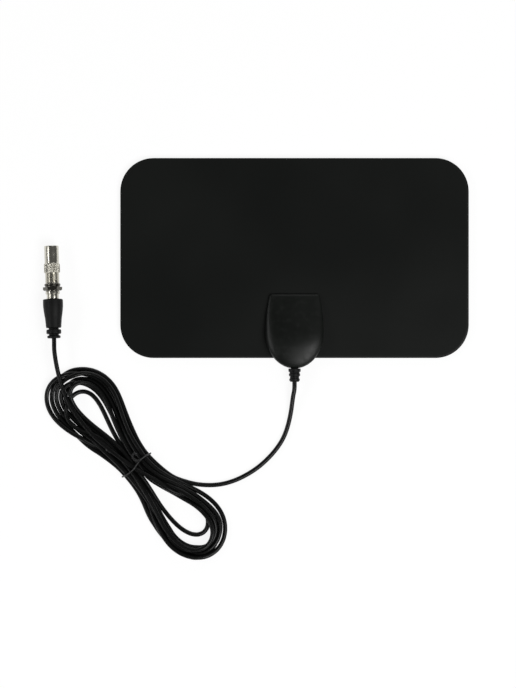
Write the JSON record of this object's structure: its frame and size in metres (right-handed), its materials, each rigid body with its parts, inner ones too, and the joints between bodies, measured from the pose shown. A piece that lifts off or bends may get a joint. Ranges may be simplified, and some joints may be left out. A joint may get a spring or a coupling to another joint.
{
  "type": "indoor tv antenna",
  "caption": "Flat black film television antenna with a domed junction box, a thin tied coaxial lead and a push-on coaxial plug.",
  "frame": {"origin": "middle of the base plane under the panel, junction box and strain relief together, at the rear shell's back face", "axes": "+X along the panel's width, +Y up the panel away from the lead, +Z out of the panel's face"},
  "size_m": [0.2809, 0.2651, 0.0134],
  "materials": {
    "film": "black laminated film with a fine satin grain",
    "foil": "thin rolled foil",
    "shell": "black moulded plastic with a fine spark texture",
    "board": "green board lacquer",
    "copper": "copper",
    "tin": "tinned metal",
    "ferrite": "sintered ferrite",
    "enamel_wire": "enamelled winding wire",
    "chip": "chip body",
    "solder": "solder",
    "sheath": "black soft sheath, satin",
    "dielectric": "white foam dielectric",
    "relief": "black moulded bush",
    "tie": "black coated tie wire",
    "boot": "black moulded boot",
    "nickel": "nickel-plated brass",
    "dark_nickel": "darker, duller nickel plate",
    "contact": "plated contact"
  },
  "bodies": {
    "root": {"back_film": "film", "front_film": "film", "radiator_left": "foil", "radiator_right": "foil", "rear_shell": "shell", "front_shell": "shell", "circuit_board": "board", "board_tracks": "copper", "contact_washers": "tin", "feed_rivets": "tin", "balun_core": "ferrite", "balun_winding": "enamel_wire", "chip_capacitors": "chip", "solder_joints": "solder", "cable_sheath": "sheath", "cable_braid": "copper", "cable_dielectric": "dielectric", "cable_core": "copper", "strain_relief": "relief", "lead_cable": "sheath", "cable_hank": "sheath", "hank_tie": "tie", "plug_cable": "sheath", "plug_boot": "boot", "plug_sheath": "sheath", "plug_dielectric": "dielectric", "plug_wire": "copper", "connector_body": "nickel", "coupling_nut": "dark_nickel", "adapter_shell": "nickel", "adapter_insulator": "dielectric", "adapter_pin": "contact"}
  },
  "joints": []
}
